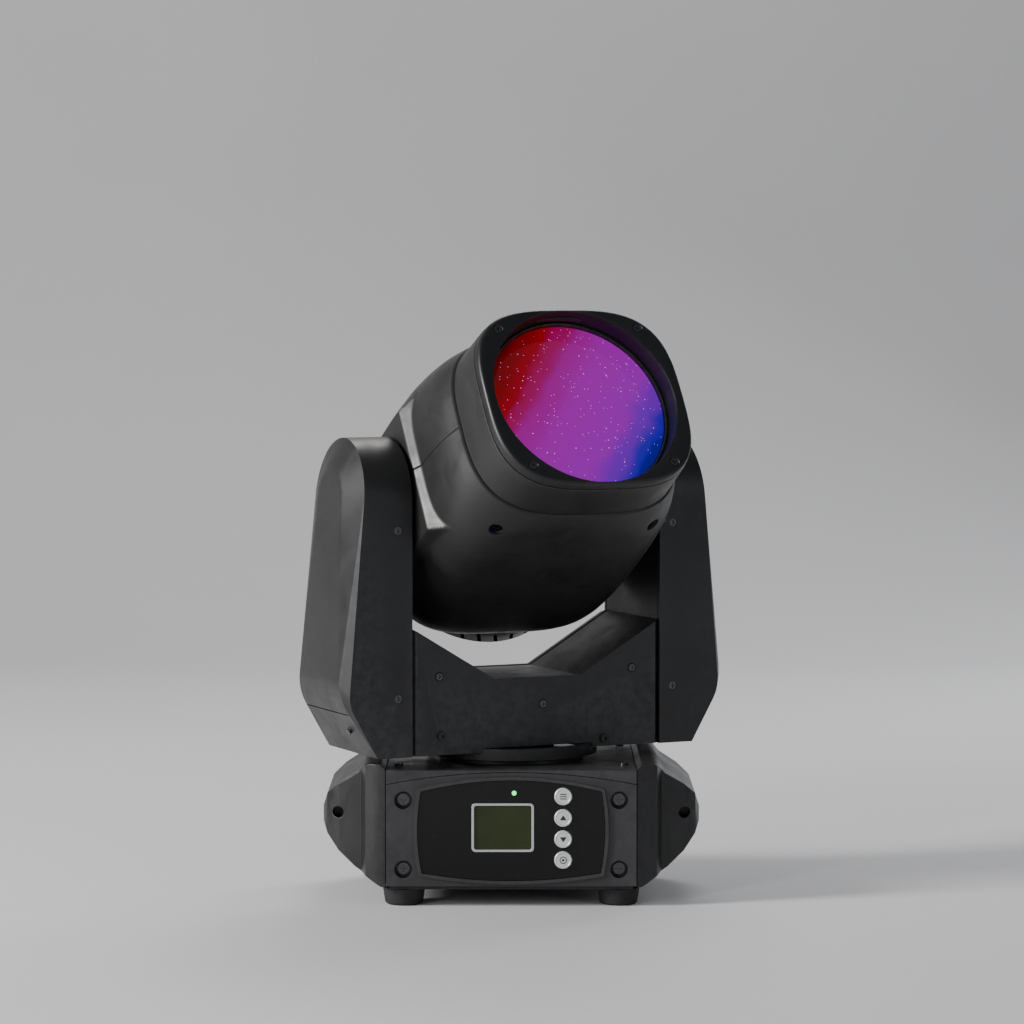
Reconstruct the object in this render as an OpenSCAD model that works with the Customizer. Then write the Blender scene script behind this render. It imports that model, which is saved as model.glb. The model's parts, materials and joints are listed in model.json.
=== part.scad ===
// Moving head stage light: a base with a pan joint, a U-shaped yoke, and a tilting head.
// Origin: on the pan axis, in the plane of the base plate's underside. The feet reach below it.
// +X is to the right seen from the display side, +Y points to the rear connectors, +Z is up.

/* [Stored pose] */
// Pan angle of the yoke about +Z as stored, in degrees
pan_rest = 25; // [-40:1:40]
// Forward tilt of the head from vertical as stored, in degrees
tilt_rest = 58; // [-60:1:80]

/* [Base] */
// Width of the middle of the base, between the two side covers
base_w = 177; // [170:1:190]
// Depth of the base from the front cover to the rear panel
base_d = 170; // [168:1:180]
// Height of the top deck above the underside of the base plate
base_h = 85; // [84:0.5:86]
// Height of the rubber feet
foot_h = 12; // [6:1:20]
// Half width over the side covers
ear_x = 134; // [132:1:140]

/* [Display] */
// Half width of the gloss panel
panel_x = 66; // [64:1:68]
// Diameter of a button cap
button_d = 12.4; // [10:0.1:12.8]
// Travel of a button
button_travel = 0.8; // [0.4:0.1:1]

/* [Yoke] */
// Overall width of the yoke
yoke_w = 302; // [300:1:310]
// Depth of the yoke arms
yoke_d = 90; // [88:1:92]
// Clear gap between the arms
arm_gap = 195; // [194:1:196]
// Height of the yoke's underside
yoke_z = 94; // [93.5:0.5:94.5]
// Height of the tilt axis
tilt_z = 273; // [270:1:280]
// Radius of the fixed pan pulley
pan_pulley_r = 34; // [32:1:35]
// Radius of the motor pulleys
motor_pulley_r = 9; // [8:0.5:9.5]
// Radius of the tilt pulley
tilt_pulley_r = 26; // [24:1:28]

/* [Head] */
// Distance from the tilt axis to the front of the bezel
head_front = 145; // [144:1:148]
// Distance from the tilt axis to the back of the rear vent cap
head_rear = 94; // [92:1:95]
// Clear opening radius of the front bezel
lens_open_r = 68; // [66:0.5:68]

/* [Hidden] */
$fn = 64;
wall = 2.5;
black = "#1b1b1d";
grey = "#2a2a2d";
gap = 0.3;
front_y = -base_d / 2;
arm_in = arm_gap / 2;
yd = yoke_d / 2;
yw = yoke_w / 2;
pan_motor_x = -65;
tilt_motor_z = 133;
tilt_belt_x = 111.5;
button_x = 36.5;
foot_x = 76;
foot_y = 66;
button_z = [66.8, 51.6, 36.6, 21.8];

// ---------- shared helpers ----------
function arc(cx, cy, r, a0, a1, n = 8) = [for (i = [0:n]) [cx + r * cos(a0 + (a1 - a0) * i / n), cy + r * sin(a0 + (a1 - a0) * i / n)]];
function rrect(w, h, r, n = 5) = concat(arc(w / 2 - r, h / 2 - r, r, 0, 90, n), arc(-w / 2 + r, h / 2 - r, r, 90, 180, n),
                                        arc(-w / 2 + r, -h / 2 + r, r, 180, 270, n), arc(w / 2 - r, -h / 2 + r, r, 270, 360, n));
function mirx(p) = [for (i = [len(p) - 1:-1:0]) [-p[i][0], p[i][1]]];
function superell(a, b, n, k) = [for (i = [0:k - 1]) let (t = 360 * i / k, c = cos(t), s = sin(t))
                                 [a * sign(c) * pow(abs(c), 2 / n), b * sign(s) * pow(abs(s), 2 / n)]];
// Extrusions along each axis; the child is drawn in the plane across it, in X, Y, Z order.
module slab_x(x0, x1) translate([x0, 0, 0]) rotate([90, 0, 90]) linear_extrude(x1 - x0) children();
module slab_y(y0, y1) translate([0, y1, 0]) rotate([90, 0, 0]) linear_extrude(y1 - y0) children();
module slab_z(z0, z1) translate([0, 0, z0]) linear_extrude(z1 - z0) children();
module rod_x(x0, x1, r) translate([x0, 0, 0]) rotate([0, 90, 0]) cylinder(h = x1 - x0, r = r);
module rod_y(y0, y1, r) translate([0, y1, 0]) rotate([90, 0, 0]) cylinder(h = y1 - y0, r = r);
module rod_z(z0, z1, r) translate([0, 0, z0]) cylinder(h = z1 - z0, r = r);
module box(x0, x1, y0, y1, z0, z1) translate([x0, y0, z0]) cube([x1 - x0, y1 - y0, z1 - z0]);
module both_x() { children(); mirror([1, 0, 0]) children(); }
module at_yoke() rotate([0, 0, pan_rest]) children();
module at_head() rotate([0, 0, pan_rest]) translate([0, 0, tilt_z]) rotate([tilt_rest, 0, 0]) children();
// Smooth closed skin through super-ellipse sections [w, half width, half height, exponent].
module loft(s, k = 48) {
    m = len(s);
    pts = [for (q = s) for (p = superell(q[1], q[2], q[3], k)) [p[0], p[1], q[0]]];
    side = [for (j = [0:m - 2]) for (i = [0:k - 1]) let (i1 = (i + 1) % k)
            each [[j * k + i, (j + 1) * k + i, (j + 1) * k + i1], [j * k + i, (j + 1) * k + i1, j * k + i1]]];
    polyhedron(points = pts, faces = concat([[for (i = [0:k - 1]) i]], side, [[for (i = [k - 1:-1:0]) (m - 1) * k + i]]));
}
// A pan-head screw along +Y, head at the front, with a cross recess.
module screw_y(y, r = 3.4, len = 12, shank = 1.5, head = 2) difference() {
    union() { rod_y(y, y + head, r); rod_y(y + head, y + len, shank); }
    box(-r * 0.6, r * 0.6, y - 1, y + 1, -0.45, 0.45);
    box(-0.45, 0.45, y - 1, y + 1, -r * 0.6, r * 0.6);
}
module screw_z(z, r = 2.6, len = 8, shank = 1.4) difference() {
    union() { rod_z(z - 1.6, z, r); rod_z(z - len, z - 1.6, shank); }
    box(-r * 0.6, r * 0.6, -0.4, 0.4, z - 0.9, z + 1);
    box(-0.4, 0.4, -r * 0.6, r * 0.6, z - 0.9, z + 1);
}
module belt(x0, r0, x1, r1, z0, z1, t = 1.4) {
    // Closed toothed-belt loop around two pulleys on the local X axis.
    slab_z(z0, z1) difference() {
        hull() { translate([x0, 0]) circle(r0 + t); translate([x1, 0]) circle(r1 + t); }
        hull() { translate([x0, 0]) circle(r0); translate([x1, 0]) circle(r1); }
    }
}
module stepper(s, h, shaft_r, shaft_len, boss_r = 11) {
    // Square stepper motor with its mounting face at z = 0 and the body above it.
    difference() {
        union() {
            slab_z(0, 8) polygon(rrect(s, s, 5));
            slab_z(8, h - 8) polygon(rrect(s - 1.5, s - 1.5, 3));
            slab_z(h - 8, h) polygon(rrect(s, s, 5));
            rod_z(-1.6, 0, boss_r);
        }
        for (x = [-1, 1], y = [-1, 1]) translate([x * (s / 2 - 5.5), y * (s / 2 - 5.5), 0]) rod_z(-1, 4, 1.5);
        rod_z(-5, 12, shaft_r + 0.06);
    }
}

// ---------- base ----------
module base_chassis() color("dimgray") difference() {
    union() {
        box(-86, 86, -80, 81.6, 0, 2.5);
        both_x() box(84.5, 86, -61, 81.6, 2, 82);
        for (x = [-foot_x, foot_x], y = [-foot_y, foot_y]) translate([x, y, 0]) rod_z(2, 7, 5);
    }
    for (x = [-53, 53], y = [-35, 35]) translate([x, y, 0]) rod_z(-1, 4, 5);
    for (x = [-foot_x, foot_x], y = [-foot_y, foot_y]) translate([x, y, 0]) rod_z(-1, 8, 2.16);
    both_x() for (y = [-40:8:40]) box(83, 88, y, y + 3, 30, 62);
}

module base_top_deck() color(grey) difference() {
    union() {
        slab_z(82, base_h) polygon([[-88, -62], [88, -62], [88, 70], [78, 81.6], [-78, 81.6], [-88, 70]]);
        slab_y(-84.4, -62) polygon(concat([for (x = [-88.2:8.82:88.3]) [x, arch_z(x) + 0.35]], [[88.2, base_h], [-88.2, base_h]]));
        difference() { rod_z(base_h, base_h + 2, 52); rod_z(base_h - 1, base_h + 3, 48); }
    }
    rod_z(80, base_h + 4, 16);
    for (a = [45:90:315]) rotate([0, 0, a]) translate([28, 0, 0]) rod_z(80, base_h + 1, 1.6);
    both_x() for (y = [-54, 64]) translate([80, y, 0]) rod_z(80, base_h + 1, 1.6);
}

// Outline of the gloss panel: four shallow arcs, in X and Z.
module panel_2d(d = 0) intersection() {
    translate([0, 78 - 260 + d]) circle(260, $fn = 360);
    translate([0, 7 + 360 - d]) circle(360, $fn = 360);
    translate([panel_x + d - 150, 42.5]) circle(150, $fn = 240);
    translate([-panel_x - d + 150, 42.5]) circle(150, $fn = 240);
    translate([0, 42.5]) polygon(rrect(2 * (panel_x + d), 71 + 2 * d, 9 + d));
}
function arch_z(x) = base_h - 1.6 - 8.6 * pow(abs(x) / 88.2, 2);
module front_outline() polygon(concat([[-88.2, 3], [88.2, 3]], [for (x = [88.2:-8.82:-88.3]) [x, arch_z(x)]]));
module base_front_cover() color(grey) difference() {
    union() {
        slab_y(front_y, front_y + 3) front_outline();
        difference() {
            slab_y(front_y + 3, -62.3) front_outline();
            box(-88.2 + wall, 88.2 - wall, front_y + 2, -60, 3 + wall, 72);
            box(-62, 62, front_y + 2, -60, 70, 77);
            box(-86, 86, -74, -60, 2, 10);
        }
        difference() {
            slab_y(front_y - 1.4, front_y) panel_2d(2.6);
            slab_y(front_y - 2, front_y + 1) panel_2d(0.2);
        }
        for (x = [-76, 76], z = [15, 64]) translate([x, 0, z]) rod_y(front_y + 3, -66, 7.5);
    }
    slab_y(front_y - 1, front_y + 1.6) panel_2d(0.2);
    slab_y(front_y, front_y + 5) panel_2d(-4);
    for (z = button_z) translate([button_x, 0, z]) rod_y(front_y + 1.5, front_y + 5, 8.2);
    for (x = [-76, 76], z = [15, 64]) translate([x, 0, z]) { rod_y(front_y - 1, front_y + 7, 6.3); rod_y(front_y, -60, 1.8); }
}

module base_rear_panel() color("#242426") difference() {
    box(-88, 88, 82, 84, 1, 85);
    box(-69, -41, 80, 90, 13, 34);
    translate([-20, 0, 24]) rod_y(80, 90, 6.1);
    for (x = [-58, -24]) translate([x, 0, 62]) rod_y(80, 90, 11.6);
    for (i = [-4:4]) translate([42, 0, 42 + i * 6]) { w = sqrt(27 * 27 - 36 * i * i); box(-w, w, 80, 90, -1.6, 1.6); }
    for (x = [17, 67], z = [17, 67]) translate([x, 0, z]) rod_y(80, 90, 1.8);
}

module ear_profile(t = 0) polygon([[88.6 + t, 2 + t], [92, 2 + t], [111, 14 + t], [123 - t, 25 + t], [131 - t, 36 + t], [ear_x - t, 44 + t / 2],
                            [ear_x - t, 55 - t / 2], [131 - t, 65 - t], [122 - t, 73 - t], [109 - t, 81 - t], [104 - t, 87 - t], [100 - t, 89 - t], [92, 89 - t], [88.6 + t, 85 - t]]);
module ear_plan() polygon([[88.6, -84], [96, -82.5], [103, -77], [106.5, -66], [122, -60], [131, -52], [ear_x, -44],
                           [ear_x, 44], [131, 52], [122, 60], [106.5, 66], [103, 77], [96, 83], [88.6, 84]]);
module side_cover() difference() {
    intersection() { slab_y(-90, 90) ear_profile(); slab_z(0, 90) ear_plan(); }
    box(80, 101, -74, 74, 8, 80);
    box(110, 125, -36, 36, 0, 58);
    translate([123, 0, 52]) rod_y(-62, -46, 4);
    for (y = [-66, 66]) translate([0, y, 70]) rod_x(85, 97, 1.6);
}
module left_side_cover() color(black) mirror([1, 0, 0]) side_cover();
module right_side_cover() color(black) side_cover();

module display_panel() color("#0b0b0c") difference() {
    slab_y(front_y - 0.2, front_y + 1.6) panel_2d();
    slab_y(front_y - 2, front_y + 3) translate([-6, 44.7]) polygon(rrect(44.4, 35, 3));
    for (z = button_z) translate([button_x, 0, z]) rod_y(front_y - 2, front_y + 3, button_d / 2 + 0.3);
    translate([2, 0, 69]) rod_y(front_y - 2, front_y + 3, 1.7);
}
module lcd_frame() color("silver") translate([-6, 0, 44.7]) difference() {
    slab_y(front_y - 1, front_y + 1.6) polygon(rrect(44, 34.6, 2.8));
    slab_y(front_y - 2, front_y + 3) polygon(rrect(40.4, 31, 1.6));
}
module lcd_window() color("#2b3018") translate([-6, 0, 44.7]) slab_y(front_y - 0.1, front_y + 1.6) polygon(rrect(40.4, 31, 1.6));
module status_light() color("limegreen") translate([2, 0, 69]) { rod_y(front_y - 0.4, front_y + 8.5, 1.5); }
module display_board() color("darkgreen") difference() {
    union() {
        box(-58, 60, -75, -73.4, 12, 72);
        box(-29, 17, -78, -75, 27, 63);
        for (z = button_z) translate([button_x, 0, z]) { box(-3, 3, -78.4, -75, -3, 3); rod_y(-79.2, -78.4, 1.7); }
        translate([2, 0, 69]) rod_y(-76.4, -75, 2.4);
    }
    for (x = [-54, 56], z = [16, 68]) translate([x, 0, z]) rod_y(-80, -70, 1.6);
}
module button(z) translate([button_x, 0, z]) {
    difference() {
        rod_y(front_y - 2.2, front_y + 2.2, button_d / 2);
        rod_y(front_y - 3, front_y - 1.9, button_d / 2 - 1);
    }
    rod_y(front_y + 2.2, front_y + 3.4, button_d / 2 + 1.2);
    rod_y(front_y + 3.4, front_y + 4.8, 2.4);
}
module menu_button() color("gainsboro") button(button_z[0]);
module up_button() color("gainsboro") button(button_z[1]);
module down_button() color("gainsboro") button(button_z[2]);
module enter_button() color("gainsboro") button(button_z[3]);

module rubber_feet() color("#101010") for (x = [-foot_x, foot_x], y = [-foot_y, foot_y]) translate([x, y, 0]) {
    rotate_extrude() polygon([[0, -foot_h], [12, -foot_h], [13.5, -foot_h + 1.5], [15, -0.4], [15, 0], [0, 0]]);
    rod_z(0, 6, 2.1);
}
module base_screws() color("#222222") {
    for (x = [-76, 76], z = [15, 64]) translate([x, 0, z]) screw_y(front_y + 5, 4.2, 15, 1.8);
    for (x = [17, 67], z = [17, 67]) translate([x, 0, z]) mirror([0, 1, 0]) screw_y(-86, 3, 8, 1.8);
    both_x() for (y = [-54, 64]) translate([80, y, 0]) screw_z(base_h + 1.6, 3, 7, 1.6);
    for (a = [45:90:315]) rotate([0, 0, a]) translate([28, 0, 0]) { rod_z(80, 82, 2.8); rod_z(82, 87.6, 1.6); }
}
module power_supply() color("silver") difference() {
    union() { box(-80, -26, -56, 48, 2.5, 43); box(-70, -26, 48, 55, 2.5, 14); }
    for (y = [-48:7:40]) box(-74, -32, y, y + 3, 41, 44);
    box(-78.5, -27.5, -54.5, 46.5, 4, 41.5);
}
module main_board() color("darkgreen") {
    box(-18, 78, -66, 56, 9, 10.6);
    for (x = [-13, 64], y = [-61, 51]) translate([x, y, 0]) rod_z(2.5, 9, 3);
    for (x = [0, 20, 40, 60]) box(x - 5, x + 5, -50, -36, 10.6, 18);
    for (x = [-4, 16]) translate([x, 36, 0]) rod_z(10.6, 28, 7);
    box(28, 46, -20, -2, 10.6, 12.4);
    box(52, 74, 20, 48, 10.6, 24);
}
module power_inlet() color("#151515") difference() {
    union() { box(-68.8, -41.2, 62, 84, 13.2, 33.8); box(-80, -30, 84, 86, 10, 37); for (x = [-61, -55, -49]) translate([x, 0, 22]) rod_y(56, 62, 1.4); }
    box(-67, -43, 66, 87, 15, 32);
    for (x = [-76, -34]) translate([x, 0, 23.5]) rod_y(83, 87, 1.7);
    for (i = [-1, 1]) box(-55 + 7 * i - 1, -55 + 7 * i + 1, 60, 66, 20, 24);
}
module dmx_sockets() color("#2d2d30") for (x = [-58, -24]) translate([x, 0, 62]) difference() {
    union() { slab_y(84, 86) polygon(rrect(26, 31, 3)); rod_y(62, 84, 11.5); for (a = [30, 150, 270]) translate([5 * cos(a), 0, 5 * sin(a)]) rod_y(58, 62, 1.1); }
    if (x < -40) rod_y(70, 87, 8.6);
    else { rod_y(84.8, 87, 8.6); for (a = [30, 150, 270]) translate([4 * cos(a), 0, 4 * sin(a)]) rod_y(76, 87, 1.3); }
    for (s = [-1, 1]) translate([9.5 * s, 0, 12 * s]) rod_y(83, 87, 1.6);
}
module fuse_holder() color("#151515") translate([-20, 0, 24]) {
    rod_y(66, 84, 6);
    difference() { rod_y(84, 90, 7.6); box(-5, 5, 88.8, 91, -0.7, 0.7); }
}
module base_fan_frame() color("#18181a") translate([42, 0, 42]) difference() {
    union() {
        difference() { slab_y(66, 81.6) polygon(rrect(60, 60, 5)); rod_y(65, 83, 28.3); }
        intersection() { union() { box(-30, 30, 66, 68, -1.5, 1.5); box(-1.5, 1.5, 66, 68, -30, 30); rod_y(66, 68, 12); } rod_y(65, 69, 29); }
    }
    for (x = [-25, 25], z = [-25, 25]) translate([x, 0, z]) rod_y(60, 90, 2);
    rod_y(60, 90, 1.56);
}
module base_fan_rotor() color("#202022") translate([42, 0, 42]) {
    rod_y(69, 79.5, 11);
    rod_y(66.5, 69, 1.5);
    for (a = [0:360 / 7:359]) rotate([0, a, 0]) translate([17.5, 74.4, 0]) rotate([38, 0, 0]) cube([16, 11, 1.2], center = true);
}
module pan_post() color("silver") difference() {
    union() { rod_z(base_h, base_h + 3, 34); rod_z(base_h + 3, 95.4, 23); rod_z(95.4, 114, 19); }
    rod_z(80, 130, 14);
    for (a = [45:90:315]) rotate([0, 0, a]) translate([28, 0, 0]) rod_z(80, base_h + 4, 1.6);
}
module pan_pulley() color("#b8b8ba") difference() {
    union() { rod_z(105, 106.2, pan_pulley_r + 2.4); rod_z(106.2, 112.8, pan_pulley_r); rod_z(112.8, 114, pan_pulley_r + 2.4); }
    rod_z(100, 120, 19.04);
    for (a = [0:60:300]) rotate([0, 0, a]) translate([26.5, 0, 0]) rod_z(100, 120, 4);
}

// ---------- yoke ----------
// Side view of an arm, in Y and Z: flat bottom and a half-round top about the tilt axis.
module arm_2d(r, z0) polygon(concat([[-r, z0], [r, z0]], arc(0, tilt_z, r, 0, 180, 20)));
module arm_top(x, z, slope, h0, h1, zb) translate([x, 0, z]) multmatrix([[1, 0, slope, 0], [0, 1, 0, 0], [0, 0, 1, 0]]) translate([0, 0, -z]) slab_x(-0.2, 0) polygon(concat([[-h0, zb], [h0, zb]], arc(0, tilt_z, h1, 0, 180, 20)));
// One arm as a convex body. Its outer face leans in towards the top and is framed by a bevel that widens upwards.
module arm_body(t, x0) hull() {
    slab_x(x0, x0 + 0.4) arm_2d(yd - t, yoke_z + t);
    arm_top(yw - 5 - t, 130, -13 / 158, yd - t, yd - t, 130 + t / 2);
    arm_top(yw - t, 130, -10 / 163, 40.7 - t, 29 - t, 130 + t / 2);
    box(x0, 124 - t, -yd + t, yd - t, yoke_z + t, yoke_z + t + 1);
}
module arm_cover() difference() {
    arm_body(0, arm_in);
    arm_body(wall, arm_in - 1);
    for (z = [135.5, 254], s = [-1, 1]) translate([108.3, 0, z]) { translate([0, s * yd, 0]) rod_y(-1.6, 1.6, 3.2); rod_y(min(s, 0) * yd * 1.1, max(s, 0) * yd * 1.1, 1.6); }
}
module left_arm_cover() color(black) at_yoke() mirror([1, 0, 0]) arm_cover();
module right_arm_cover() color(black) at_yoke() arm_cover();

crossbar_top = [[-arm_in, 184], [-34, 146], [34, 146], [arm_in, 184]];
module yoke_frame() color("#222224") at_yoke() difference() {
    union() {
        both_x() difference() {
            slab_x(arm_in, arm_in + 3) arm_2d(yd - wall - 1, 97);
            translate([0, 0, tilt_z]) rod_x(arm_in - 1, arm_in + 4, 15);
        }
        box(-arm_in, arm_in, -40.5, 40.5, 97, 100);
        slab_y(-40.5, 40.5) polygon(concat(crossbar_top, [[arm_in, 180.4], [34.8, 143], [-34.8, 143], [-arm_in, 180.4]]));
        difference() { rod_z(88.6, 97, 62); rod_z(88, 98, 57); }
        difference() { rod_z(89.5, 97, 31); rod_z(88, 98, 28); }
        both_x() slab_y(-38, 38) polygon([[arm_in + 3, 97], [121, 97], [121, 99], [arm_in + 3, 99]]);
        box(-90.5, -88, -20, 20, 100, 117);
        box(-88, -43, -20, 20, 115, 117);
    }
    rod_z(80, 101, 26);
    translate([pan_motor_x, 0, 0]) rod_z(110, 120, 11);
    translate([0, 0, tilt_motor_z]) rod_x(arm_in - 4, arm_in + 4, 11);
    for (a = [0, 180]) rotate([0, 0, a]) translate([53, 0, 100]) rod_y(-42, -34, 1.6);
}
module pan_bearing() color("lightsteelblue") at_yoke() difference() {
    union() { rod_z(97, 104, 26); rod_z(100, 104, 30); }
    rod_z(90, 110, 19.06);
}
module crossbar_cover() difference() {
    intersection() {
        slab_z(90, 200) polygon([[-94, -yd + 0.2], [94, -yd + 0.2], [97.3, -40.7], [-97.3, -40.7]]);
        slab_y(-60, -20) polygon([[-97.3, 94.3], [97.3, 94.3], [97.3, 184.6], [34, 146.6], [-34, 146.6], [-97.3, 184.6]]);
    }
    for (p = [[-77, 150], [75, 150], [-75, 108], [4, 127], [53, 100]]) translate([p[0], 0, p[1]]) { rod_y(-46, -43.6, 2.9); rod_y(-46, -40, 1.5); }
    rod_z(80, 97.3, 62.4);
}
module crossbar_front_cover() color(black) at_yoke() crossbar_cover();
module crossbar_rear_cover() color(black) at_yoke() rotate([0, 0, 180]) crossbar_cover();
module yoke_screws() color("#2b2b2b") at_yoke() {
    for (a = [0, 180]) rotate([0, 0, a]) for (p = [[-77, 150], [75, 150], [-75, 108], [4, 127], [53, 100]]) translate([p[0], 0, p[1]]) screw_y(-45.2, 2.6, 7, 1.4, 1.5);
    for (a = [0, 180]) rotate([0, 0, a]) for (z = [135.5, 254], x = [-108.3, 108.3]) translate([x, 0, z]) screw_y(-yd + 0.4, 2.9, 8, 1.5, 1.15);
}
module pan_motor() color("#3a3a3c") at_yoke() translate([pan_motor_x, 0, 117]) stepper(42, 31, 2.5, 12, 10.9);
module pan_motor_pulley() color("#b8b8ba") at_yoke() translate([pan_motor_x, 0, 0]) {
    rod_z(105, 106.2, motor_pulley_r + 2);
    rod_z(106.2, 112.8, motor_pulley_r);
    rod_z(112.8, 114, motor_pulley_r + 2);
    rod_z(104.4, 128, 2.5);
}
module pan_belt() color("#0d0d0d") at_yoke() belt(0, pan_pulley_r + 0.3, pan_motor_x, motor_pulley_r + 0.3, 106.6, 112.4);
module tilt_motor() color("#3a3a3c") at_yoke() translate([arm_in, 0, tilt_motor_z]) rotate([0, -90, 0]) stepper(42, 31, 2.5, 12, 10.9);
module tilt_motor_pulley() color("#b8b8ba") at_yoke() translate([0, 0, tilt_motor_z]) {
    rod_x(tilt_belt_x - 1.6, tilt_belt_x - 0.4, motor_pulley_r + 2);
    rod_x(tilt_belt_x - 0.4, tilt_belt_x + 6.4, motor_pulley_r);
    rod_x(tilt_belt_x + 6.4, tilt_belt_x + 7.6, motor_pulley_r + 2);
    rod_x(arm_in - 10, tilt_belt_x + 9, 2.5);
}
module tilt_belt() color("#0d0d0d") at_yoke() translate([tilt_belt_x, 0, tilt_z]) rotate([0, 90, 0]) belt(0, tilt_pulley_r + 0.3, tilt_z - tilt_motor_z, motor_pulley_r + 0.3, 0, 6);
module tilt_bearings() color("lightsteelblue") at_yoke() both_x() translate([0, 0, tilt_z]) difference() {
    union() { rod_x(arm_in, arm_in + 7, 15); rod_x(arm_in + 3, arm_in + 5, 18); }
    rod_x(arm_in - 1, arm_in + 8, 8.06);
}
module arm_driver_board() color("darkgreen") at_yoke() {
    box(-108.2, -106.6, -28, 28, 130, 226);
    for (z = [134, 222], y = [-24, 24]) translate([0, y, z]) rod_x(-106.6, -arm_in - 3, 2.5);
    for (z = [146, 166, 186]) box(-112, -108.2, -16, -4, z, z + 12);
    for (z = [150, 190]) translate([0, 14, z]) rod_x(-118, -108.2, 6);
}

// ---------- head, drawn about the tilt axis with +Z out of the lens ----------
skin = [[-66, 82, 77, 3.6], [-60, 85, 78.6, 3.8], [-45, 88.5, 79.6, 4], [-10, 90, 79.8, 4.2], [35, 90, 78.4, 4.2], [60, 88.9, 77, 4],
        [80, 87.1, 76, 3.6], [92, 84.8, 74.9, 3.3], [103.2, 81.2, 73.2, 3.1], [104.2, 80.2, 72.4, 3.1]];
function inset(s, t) = [for (q = s) [q[0], q[1] - t, q[2] - t, q[3]]];
// Bevelled cheek beside each tilt bearing.
module cheek(t = 0) intersection() {
    slab_y(-80, 80) polygon([[70, 75 - t], [94 - t, 44 - t], [94 - t, -54 + t], [86 - t, -62 + t], [81 - t, -66 + t], [70, -66 + t]]);
    slab_z(-80, 80) polygon([[70, 62 - t], [94 - t, 48 - t], [94 - t, -48 + t], [70, -62 + t]]);
}
// Screw wells near the front of both covers, square to the skin.
module at_wells() for (x = [-1, 1], s = [-1, 1]) translate([60 * x, 67.5 * s, 81]) rotate([0, 0, -27 * x * s]) rotate([s < 0 ? 90 : -90, 0, 0]) children();
module head_shell() difference() {
    union() {
        difference() {
            union() { loft(skin); both_x() cheek(); }
            loft(concat([[-63.5, 80.5, 75, 3.6]], inset([for (i = [1:9]) skin[i]], wall), [[105.4, 76.9, 69.6, 3.1]]));
            both_x() cheek(wall);
        }
        intersection() { loft(skin); at_wells() rod_z(-8, 3, 6.6); }
    }
    rod_z(-70, -60, 70);
    rod_x(-100, 100, 17);
    at_wells() { rod_z(-5, 6, 4.4); rod_z(-12, 0, 1.6); }
}
module head_top_cover() color(black) at_head() intersection() { head_shell(); box(-100, 100, 0.15, 90, -70, 104.3); }
module head_bottom_cover() color(black) at_head() intersection() { head_shell(); box(-100, 100, -90, -0.15, -70, 104.3); }
module front_cap() color(black) at_head() difference() {
    loft([[104.6, 78.8, 71.6, 3.1], [105.4, 79.5, 72.2, 3.1], [118, 78.6, 71.8, 3.1], [137.6, 76.8, 70.9, 3.2]]);
    loft([[103.5, 76.6, 69.6, 3.1], [118, 76, 69.4, 3.1], [134, 74.5, 68.6, 3.2], [134.5, 71.9, 66, 3]]);
    rod_z(120, 140, 71.4 - 1.8);
    for (x = [-54, 54], y = [-54, 54]) translate([x, y, 0]) rod_z(120, 140, 1.6);
}
module front_bezel() color("#141415") at_head() difference() {
    union() {
        loft([[138, 76.6, 70.7, 3.2], [142.6, 76.2, 70.4, 3.2], [head_front - 0.8, 75.4, 69.6, 3.2], [head_front, 74.4, 68.6, 3.2]], 64);
        rod_z(124, 139, 69.3);
    }
    rod_z(128.5, 150, lens_open_r);
    rod_z(120, 130, 65.5);
    for (x = [-54, 54], y = [-54, 54]) translate([x, y, 0]) { rod_z(130, 150, 1.6); rod_z(head_front - 2, 150, 3.4); }
}
module front_lens() color("#8a9be0") at_head() rotate_extrude($fn = 128) polygon(concat([[0, 118], [65.4, 118], [65.4, 128.4]],
    [for (i = [8:-1:0]) let (r = 65 * i / 8) [r, 128.6 + 8 * (1 - pow(r / 65, 2))]]));
module head_screws() color("#2b2b2b") at_head() {
    for (x = [-54, 54], y = [-54, 54]) translate([x, y, 0]) screw_z(head_front - 0.4, 3, 12, 1.5);
    at_wells() difference() { union() { rod_z(-5, -3, 3.4); rod_z(-11, -5, 1.5); } box(-2, 2, -0.45, 0.45, -3.8, -2); box(-0.45, 0.45, -2, 2, -3.8, -2); }
}
module rear_vent_cap() color("#1f1f21") at_head() difference() {
    rotate_extrude($fn = 96) polygon([[0, -head_rear], [61, -head_rear], [69.4, -head_rear + 2], [74, -head_rear + 8], [75.5, -72], [75.5, -66.4], [72.9, -66.4], [72.9, -72],
                             [71.5, -head_rear + 8.5], [68, -head_rear + 4.4], [60.5, -head_rear + 2.6], [0, -head_rear + 2.6]]);
    for (a = [0:10:359]) rotate([0, 0, a]) translate([72.5, 0, -79]) rotate([24, 0, 0]) cube([12, 2.6, 15], center = true);
    for (r = [16:8:56]) for (a = [0:90:270]) rotate([0, 0, a + 45]) intersection() {
        difference() { rod_z(-100, -90, r + 2.2); rod_z(-101, -89, r - 1.4); }
        slab_z(-100, -90) polygon([[0, 0], [80, -64], [80, 64]]);
    }
}
module head_frame() color("silver") at_head() difference() {
    union() {
        both_x() slab_x(76.5, 79) polygon([[-28, -48], [28, -48], [38, -30], [38, 30], [28, 90], [-28, 90], [-38, 30], [-38, -30]]);
        for (w = [-48, -22, 22, 88]) slab_z(w, w + 2) polygon(superell(78, 60, 4, 48));
        both_x() { rod_x(79, 82, 20); }
        rod_x(82, 121, 8);
        rod_x(-112, -82, 8);
        for (x = [-50, 50]) translate([x, 20, 0]) rod_z(24, 88, 2.5);
    }
    rod_x(-120, -70, 5);
    rod_z(-50, -45, 28);
    rod_z(-23, -19, 22);
    rod_z(21, 25, 24);
    rod_z(87, 91, 58);
    for (w = [-21, 23]) translate([0, -30, w]) rod_z(-3, 3, 3.2);
}
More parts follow.
